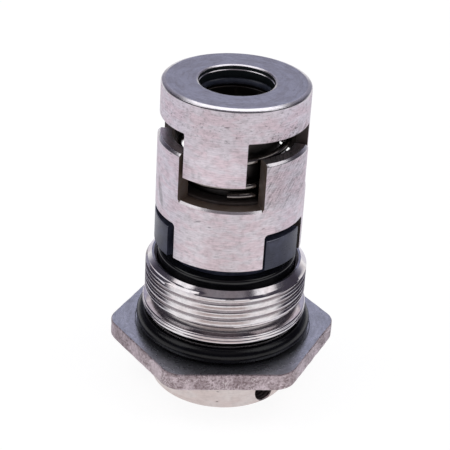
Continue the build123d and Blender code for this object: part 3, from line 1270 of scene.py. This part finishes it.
@dataclass
class RotaryRing:
    """Carbide ring with a narrow nose and three driving lugs."""

    nose: float = 10.2
    nose_bore: float = 8.6
    nose_length: float = 1.75
    body: float = 10.6
    bore: float = 7.9
    pocket: float = 9.7
    pocket_depth: float = 1.75
    lug_radius: float = 12.5
    lug_height: float = 5.45
    lug_clock: float = 49.3
    lug_sweep: float = 37.2
    lug_root: float = 0.4
    lug_rise: float = 0.01
    lug_columns: int = 26

    def build(self) -> None:
        """Turn the ring and join its lugs to it."""
        low, high = span("rotary_seal_ring")
        shoulder = low.z + self.nose_length
        first = self.lug_clock - self.lug_sweep / 2
        last = self.lug_clock + self.lug_sweep / 2
        ring = Form.turned("rotary_seal_ring", [
            Corner(self.nose_bore, low.z, 0.1),
            Corner(self.nose, low.z, 0.1),
            Corner(self.nose, shoulder, 0.1),
            Corner(self.body, shoulder, 0.15),
            Corner(self.body, high.z, 0.2),
            Corner(self.pocket, high.z, 0.1),
            Corner(self.pocket, high.z - self.pocket_depth, 0.2),
            Corner(self.bore, high.z - self.pocket_depth, 0.1),
            Corner(self.bore, shoulder, 0.1),
            Corner(self.nose_bore, shoulder, 0.1),
        ], in_sectors(first, last))
        root, foot = self.pocket + self.lug_root, shoulder + self.lug_rise
        lug = Form.swept("lug", eased([
            Corner(root, foot, 0.0),
            Corner(self.lug_radius, foot, 0.15),
            Corner(self.lug_radius, shoulder + self.lug_height, 0.25),
            Corner(root, shoulder + self.lug_height, 0.0),
        ]), even(first, last, self.lug_columns))
        ring.joined(*lug.copies()).softened(0.12)

        def edge(middle: Vector, normal: Vector) -> bool:
            """True on the eased upper edges of the lugs."""
            return 0.2 < normal.z < 0.93 and off_axis(middle) > self.body + 0.3

        # The eased upper edges of the lugs get a painted highlight.
        ring.piece(
            "rotary_ring", ["rotary_seal_ring"], "carbide", Finishes.CARBIDE, {Finishes.LUG_EDGE_HIGHLIGHT: edge}
        )


@dataclass
class DriveSleeve:
    """Turned sleeve with three open slots above its web and three notches below it."""

    wall_bore: float = 10.2
    leg_bore: float = 10.8
    web_bore: float = 8.2
    web_thickness: float = 1.7
    slot_depth: float = 8.15
    top_chamfer: float = 0.45
    floor_chamfer: float = 0.35
    clock: float = -7.8
    slot_sweep: float = 68.9
    slot_ease: float = 0.3
    leg_sweep: float = 73.2
    notch_height: float = 6.35
    notch_ease: float = 0.7
    overcut: float = 1.0
    lift: float = 0.002
    chamfer_columns: int = 30

    def build(self) -> None:
        """Turn the sleeve, then cut its slots and notches."""
        low, high = span("drive_sleeve")
        radius = high.x
        floor = high.z - self.slot_depth
        web = floor - self.web_thickness
        slot = (self.clock - self.slot_sweep / 2, self.clock + self.slot_sweep / 2)
        notch = (self.clock + self.leg_sweep / 2, self.clock + SECTOR - self.leg_sweep / 2)
        form = Form.turned("drive_sleeve", [
            Corner(self.web_bore, web, 0.08),
            Corner(self.leg_bore, web, 0.15),
            Corner(self.leg_bore, low.z, 0.08),
            Corner(radius, low.z, 0.1),
            Corner(radius, high.z - self.top_chamfer, 0.08),
            Corner(radius - self.top_chamfer, high.z, 0.08),
            Corner(self.wall_bore, high.z, 0.08),
            Corner(self.wall_bore, floor, 0.15),
            Corner(self.web_bore, floor, 0.08),
        ], in_sectors(*slot, *notch))
        reach = radius + 3.0
        base = floor + self.lift
        over = self.overcut
        slots = Form.wedge("slot", slot, (4.0, reach), base, high.z + over, self.slot_ease)
        top = low.z + self.notch_height
        notches = Form.wedge("notch", notch, (9.0, reach), top, low.z - over, self.notch_ease)
        cone = self.floor_chamfer
        chamfer = Form.swept("chamfer", [
            (radius - cone, base),
            (radius - cone, floor + 0.5),
            (radius + over, floor + 0.5),
            (radius + over, floor - cone - over),
        ], even(slot[0] + 1.0, slot[1] - 1.0, self.chamfer_columns))
        form.cut(*slots.copies(), *notches.copies(), *chamfer.copies()).softened(0.07)

        def shelf(middle: Vector, normal: Vector) -> bool:
            """True on the level floors of the slots."""
            return normal.z > 0.9 and abs(middle.z - floor) < 0.05

        def inner(middle: Vector, normal: Vector) -> bool:
            """True on the inner walls."""
            inside = off_axis(middle) < radius - 0.5 and middle.z < high.z - 0.06
            return inside and not shelf(middle, normal)

        def wall(middle: Vector, normal: Vector) -> bool:
            """Tell the slots' own faces from the turned ones.

            Args:
                middle: Middle of a face.
                normal: The way it looks.

            Returns:
                True on the side walls and the floors of the slots.
            """
            out = off_axis(middle)
            within = web < middle.z < high.z - 0.06 and self.wall_bore - 0.6 < out < radius - 0.06
            sideways = abs(normal.x * middle.x + normal.y * middle.y) < 0.5 * out
            return shelf(middle, normal) or (within and sideways)

        def edge(middle: Vector, normal: Vector) -> bool:
            """True on the chamfers that face up."""
            return 0.35 < normal.z < 0.95 and off_axis(middle) > radius - 0.6

        # The inner walls and the slots' walls and floors get painted shade.
        form.piece(
            "drive", ["drive_sleeve"], "turned_steel", Finishes.HEAD,
            {Finishes.INSIDE_SHADE: inner, Finishes.SLOT_SHADE: wall, Finishes.EDGE: edge}
        )


@dataclass
class DriverCap:
    """Turned cap with a chamfered rim, a bore lip and three driving legs."""

    ring_height: float = 5.75
    leg_sweep: float = 50.5
    leg_clock: float = -13.95
    leg_bore: float = 10.3
    lip_bore: float = 6.15
    lip_thickness: float = 2.1
    pocket_depth: float = 1.65
    tube: float = 7.6
    rim_width: float = 0.78
    rim_drop: float = 0.46
    rim_shoulder: tuple[float, float] = (0.15, 0.23)
    bore_chamfer: float = 0.48
    bore_drop: float = 0.16
    step: float = 0.12
    step_depth: float = 0.75
    corner: float = 0.25

    def build(self) -> None:
        """Turn the cap with its skirt, then cut the gaps between its legs."""
        low, high = span("driver_cap")
        radius = high.x
        ring = high.z - self.ring_height
        pocket = ring + self.pocket_depth
        lip = high.z - self.lip_thickness
        gap = (self.leg_clock + self.leg_sweep / 2, self.leg_clock + SECTOR - self.leg_sweep / 2)
        form = Form.turned("driver_cap", [
            Corner(self.lip_bore, lip, 0.08),
            Corner(self.tube, lip, 0.1),
            Corner(self.tube, pocket, 0.1),
            Corner(self.leg_bore, pocket, 0.15),
            Corner(self.leg_bore, low.z, 0.08),
            Corner(radius, low.z, 0.12),
            Corner(radius, high.z - self.rim_drop, 0.06),
            Corner(radius - self.rim_shoulder[0], high.z - self.rim_shoulder[1], 0.08),
            Corner(radius - self.rim_width, high.z, 0.06),
            Corner(self.lip_bore + self.bore_chamfer, high.z, 0.06),
            Corner(self.lip_bore + self.step, high.z - self.bore_drop, 0.05),
            Corner(self.lip_bore + self.step, high.z - self.step_depth, 0.03),
            Corner(self.lip_bore, high.z - self.step_depth - self.step, 0.03),
        ], in_sectors(*gap))
        gaps = Form.wedge("gap", gap, (9.0, radius + 6.0), ring, low.z - 1.0, self.corner, radius)
        form.cut(*gaps.copies()).softened(0.07)

        def inner(middle: Vector, normal: Vector) -> bool:
            """True on the inner walls."""
            return self.tube - 0.1 < off_axis(middle) < radius - 0.5 and middle.z < lip + 0.1

        def bore(middle: Vector, normal: Vector) -> bool:
            """Tell the bore, dark with painted shade, from its lip.

            Args:
                middle: Middle of a face.
                normal: The way it looks.

            Returns:
                True on the bore's wall.
            """
            below = middle.z < high.z - self.step_depth - self.step
            upright = middle.z < high.z - self.bore_drop and abs(normal.z) < 0.2
            return off_axis(middle) < self.tube and (below or upright)

        def faced(middle: Vector, normal: Vector) -> bool:
            """True on the faced top."""
            return normal.z > 0.97 and middle.z > high.z - 0.1

        def edge(middle: Vector, normal: Vector) -> bool:
            """True on the chamfers that face up."""
            return 0.2 < normal.z < 0.97 and middle.z > high.z - self.step_depth - self.step

        # The bore and inner walls get painted shade, the faced top a painted reflection.
        form.piece(
            "rotor", ["driver_cap"], "turned_steel", Finishes.HEAD,
            {Finishes.BORE_SHADE: bore, Finishes.INSIDE_SHADE: inner, Finishes.TOP_PAINTED_REFLECTION: faced, Finishes.EDGE: edge}
        )


@dataclass
class SpringPack:
    """Round-wire spring with closed ends, and the washer that it bears on."""

    wire: float = 1.2
    radius: float = 9.0
    turns: float = 4.0
    end_turns: float = 0.75
    closed_pitch: float = 1.45
    end_ease: float = 0.1
    clock: float = -2.8
    clearance: float = 0.05
    travel: float = 3.5
    round_steps: int = 20
    turn_steps: int = 90
    washer_bore: float = 8.0

    def build(self) -> None:
        """Build the spring and the washer."""
        self.spring()
        self.washer()

    def height(self, turn: float, length: float) -> float:
        """Height of the wire's centre above that of its lower end.

        Args:
            turn: Turns from the lower end.
            length: Height between the centres of the two ends.

        Returns:
            The height in millimetres.
        """
        share = (turn - self.end_turns) / (self.turns - 2 * self.end_turns)
        share = min(max(share, 0.0), 1.0)
        spread = length - self.closed_pitch * self.turns
        return self.closed_pitch * turn + spread * share * share * (3 - 2 * share)

    def spring(self) -> None:
        """Sweep the wire along its helix, with cut ends."""
        low, high = span("spring")
        length = high.z - low.z - self.wire
        count = round(self.turns * self.turn_steps)
        path = []
        for step in range(count + 1):
            turn = step / self.turn_steps
            up = low.z + self.wire / 2 + self.height(turn, length)
            path.append(spot(self.clock + 360.0 * turn, self.radius, up))
        rows: list[list[Vector]] = [[] for _ in range(self.round_steps)]
        for index, point in enumerate(path):
            ahead = (path[min(index + 1, count)] - path[max(index - 1, 0)]).normalized()
            outward = Vector((point.x, point.y, 0)).normalized()
            across = ahead.cross(outward).normalized()
            for place, row in enumerate(rows):
                turn = math.tau * place / self.round_steps
                row.append(point + (outward * math.cos(turn) + across * math.sin(turn)) * self.wire / 2)
        form = Form.grid("spring", rows, ends=True).softened(self.end_ease)
        piece = form.piece("rotor", ["spring"], "spring_steel", Finishes.WIRE)
        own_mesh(piece)

    def washer(self) -> None:
        """Turn the flat washer."""
        low, high = span("thrust_washer")
        bore = self.washer_bore
        form = Form.turned("thrust_washer", [
            Corner(bore, low.z), Corner(high.x, low.z), Corner(high.x, high.z), Corner(bore, high.z),
        ])
        # The washer sits inside and gets the painted shade.
        form.piece("thrust", ["thrust_washer"], "turned_steel", Finishes.INSIDE_SHADE)


@dataclass
class RubberRings:
    """The four round-section O-rings."""

    steps: int = 40
    flash: float = 0.012
    flash_fall: int = 40
    bodies: ClassVar[dict[str, str]] = {
        "shaft_o_ring": "rotor",
        "ring_o_ring": "rotary_ring",
        "seat_o_ring": "gland",
        "carrier_o_ring": "gland",
    }

    def build(self) -> None:
        """Build each ring in its node's box, with the fine flash line that its mould leaves."""
        for node, body in self.bodies.items():
            low, high = span(node)
            section = high.z - low.z
            middle = high.x - section / 2
            up = (low.z + high.z) / 2
            outline = []
            for step in range(self.steps):
                turn = math.tau * step / self.steps
                radius = section / 2 * (1.0 - self.flash * (1 - abs(math.cos(turn)) ** self.flash_fall))
                outline.append((middle + math.cos(turn) * radius, up + math.sin(turn) * radius))
            form = Form.swept(node, outline, even(0.0, 360.0, COLUMNS), ends=False)
            # The shaft O-ring gets painted sheen.
            finish = Finishes.PAINTED_SHEEN_RUBBER if node == "shaft_o_ring" else Finishes.RUBBER
            form.piece(body, [node], "rubber", finish, smooth=60.0)


# --------------------------------------------------------------------- studio


@dataclass
class Studio:
    """Pale floor, white surround, soft lamps and the camera."""

    distance: float = 0.20497
    height: float = 0.14094
    down: float = 28.57
    yaw: float = 0.149
    roll: float = 3.471
    lens: float = 109.8
    sensor: float = 36.0
    lamp_side: float = 0.306
    lamp_front: float = 0.046
    lamp_height: float = 0.472
    lamp_size: float = 0.32
    aim: float = 0.03
    floor_radius: float = 0.9
    floor_glow: float = 0.86
    floor_share: float = 0.25
    floor_white: Colour = (0.80, 0.80, 0.80)
    ambient: Colour = (0.50, 0.50, 0.52)
    dusk: Colour = (0.052, 0.047, 0.066)
    front: Colour = (0.235, 0.215, 0.235)
    back_low: Colour = (0.33, 0.33, 0.41)
    back_high: Colour = (0.50, 0.50, 0.63)
    # Floor colours that only metal sees: painted shadows and painted dimming.
    shaded: Colour = (0.56, 0.49, 0.475)
    shaded_deep: Colour = (0.36, 0.285, 0.26)
    # Painted shadow that metal sees in the floor at the sides and behind.
    side: Colour = (0.035, 0.03, 0.045)
    painted_side_dimming: Colour = (0.80, 0.80, 0.90)
    painted_far_dimming: Colour = (0.80, 0.77, 0.80)
    overhead: Colour = (1.55, 1.55, 1.62)

    def build(self) -> None:
        """Build the whole studio."""
        self.camera()
        self.floor()
        self.world()
        self.lamp("left_softbox", -self.lamp_side, 0.36)
        self.lamp("right_softbox", self.lamp_side, 0.34)
        bpy.context.scene.view_settings.view_transform = "Standard"

    def camera(self) -> None:
        """Place the camera."""
        data = bpy.data.cameras.new("camera")
        data.lens = self.lens
        data.sensor_width = self.sensor
        data.clip_start = 0.01
        eye = bpy.data.objects.new("camera", data)
        eye.matrix_world = (
            Matrix.Translation((0.0, -self.distance, self.height))
            @ Matrix.Rotation(math.radians(self.yaw), 4, "Z")
            @ Matrix.Rotation(math.radians(90.0 - self.down), 4, "X")
            @ Matrix.Rotation(math.radians(self.roll), 4, "Z")
        )
        bpy.context.scene.collection.objects.link(eye)
        bpy.context.scene.camera = eye

    def lamp(self, name: str, side: float, watts: float) -> None:
        """Hang a soft square lamp that faces the seal.

        Args:
            name: Name of the lamp.
            side: How far to the right it hangs, in metres.
            watts: Its power.
        """
        data = bpy.data.lights.new(name, "AREA")
        data.size = self.lamp_size
        data.energy = watts
        lamp = bpy.data.objects.new(name, data)
        place = Vector((side, -self.lamp_front, self.lamp_height))
        lamp.location = place
        lamp.rotation_euler = (Vector((0, 0, self.aim)) - place).to_track_quat("-Z", "Y").to_euler()
        bpy.context.scene.collection.objects.link(lamp)

    def seen(self, bench: Bench) -> Signal:
        """Tell what the eye sees, itself or in a surface, from what lights the seal.

        Args:
            bench: Bench of the material that asks.

        Returns:
            One for rays from the camera, off a mirror or through glass, nought for the rest.
        """
        path = bench.node("ShaderNodeLightPath").outputs
        eye, glossy, through = (
            Signal(bench, path[f"Is {kind} Ray"]) for kind in ("Camera", "Glossy", "Transmission")
        )
        return (eye + glossy + through).ramp(0.0, 1.0)

    def floor(self) -> None:
        """Lay the pale floor; it looks white and keeps the seal's soft shadow, and metal sees painted
        shadows in it.
        """
        shape = bmesh.new()
        bmesh.ops.create_circle(shape, cap_ends=True, segments=96, radius=self.floor_radius)
        mesh = bpy.data.meshes.new("floor")
        shape.to_mesh(mesh)
        shape.free()
        floor = bpy.data.objects.new("floor", mesh)
        bpy.context.scene.collection.objects.link(floor)
        material = bpy.data.materials.new("pale_floor")
        material.use_nodes = True
        bench = Bench(material.node_tree)
        # Metal sees painted shadows in the floor; the eye sees it white.
        mirrored_shade = self.mirrored_shade(bench, Place(bench))
        lit = bench.node("ShaderNodeBsdfDiffuse", None, {"Color": self.floor_white})
        dim = bench.vector("MULTIPLY", mirrored_shade, (self.floor_share,) * 3)
        share = bench.node("ShaderNodeBsdfDiffuse", None, {"Color": dim})
        glow = bench.node("ShaderNodeEmission", None, {"Color": mirrored_shade, "Strength": self.floor_glow})
        both = bench.node("ShaderNodeAddShader", None, {0: share.outputs[0], 1: glow.outputs[0]})
        values = {0: self.seen(bench), 1: lit.outputs[0], 2: both.outputs[0]}
        surface = bench.node("ShaderNodeMixShader", None, values)
        bench.node("ShaderNodeOutputMaterial", None, {"Surface": surface.outputs[0]})
        mesh.materials.append(material)

    def mirrored_shade(self, bench: Bench, place: Place) -> bpy.types.NodeSocket:
        """Floor as metal mirrors it: white, with painted shadows on a ring close round the seal, tan in
        front and dark at the sides and behind, and painted dimming to the sides and further out.

        Args:
            bench: Bench of the floor's material.
            place: Coordinates on the floor.

        Returns:
            The colour, which is white wherever the eye sees the floor itself.
        """
        angle = abs(place.clock)
        shadow_ring = place.radius.ramp(33.5, 36.5) * place.radius.ramp(50.5, 55.5, 1.0, 0.0)
        ahead = angle.ramp(20.0, 42.0, 1.0, 0.0)
        beside = angle.ramp(62.0, 84.0)
        shaded = bench.mix(place.radius.ramp(44.5, 49.5), self.shaded, self.shaded_deep)
        colour = bench.mix(place.radius.ramp(60.0, 96.0), WHITE, self.painted_far_dimming)
        colour = bench.mix(beside * 0.45, colour, self.painted_side_dimming)
        colour = bench.mix(shadow_ring * ahead, colour, shaded)
        colour = bench.mix(shadow_ring * beside, colour, self.side)
        glossy = bench.node("ShaderNodeLightPath").outputs["Is Glossy Ray"]
        return bench.mix(Signal(bench, glossy), WHITE, colour)

    def world(self) -> None:
        """Light the surround: white to the eye, and a dim room above the horizon to metal."""
        world = bpy.data.worlds.new("surround")
        bpy.context.scene.world = world
        world.use_nodes = True
        bench = Bench(world.node_tree)
        way = bench.node("ShaderNodeTexCoord").outputs["Generated"]
        parts = bench.node("ShaderNodeSeparateXYZ", None, {0: way}).outputs
        side, deep, up = (Signal(bench, part) for part in parts)
        mirrored = bench.mix(deep.ramp(-0.55, 0.05, 1.0, 0.0) * up.ramp(0.55, 0.82), self.dusk, self.front)
        above = up.ramp(0.68, 0.78) * deep.ramp(0.14, 0.28) * side.band(0.0, 0.31, 0.09)
        mirrored = bench.mix(above, mirrored, self.overhead)
        back = bench.mix(up.ramp(0.34, 0.58), self.back_low, self.back_high)
        mirrored = bench.mix(deep.ramp(0.45, 0.80) * up.band(0.38, 0.24, 0.08), mirrored, back)
        mirrored = bench.mix(abs(side).ramp(0.31, 0.42) * up.band(0.62, 0.17, 0.07), mirrored, self.dusk)
        mirrored = bench.mix(up.ramp(0.03, 0.22, 1.0, 0.0), mirrored, WHITE)
        path = bench.node("ShaderNodeLightPath").outputs
        eye = Signal(bench, path["Is Camera Ray"])
        glossy = Signal(bench, path["Is Glossy Ray"])
        soft = bench.mix(glossy, self.ambient, mirrored)
        colour = bench.mix(eye, soft, WHITE)
        glow = bench.node("ShaderNodeBackground", None, {"Color": colour, "Strength": 1.0})
        bench.node("ShaderNodeOutputWorld", None, {"Surface": glow.outputs[0]})


def main() -> None:
    """Build the studio and the seal's sub-assemblies in order, and report each piece."""
    logging.basicConfig(level=logging.INFO, format="%(name)s: %(message)s")
    Studio().build()
    for assembly in (
        ShaftSleeve(), SealCarrier(), RotaryRing(), DriveSleeve(), DriverCap(), SpringPack(), RubberRings()
    ):
        LOG.info("building %s", type(assembly).__name__)
        assembly.build()


if __name__ == "__main__":
    main()
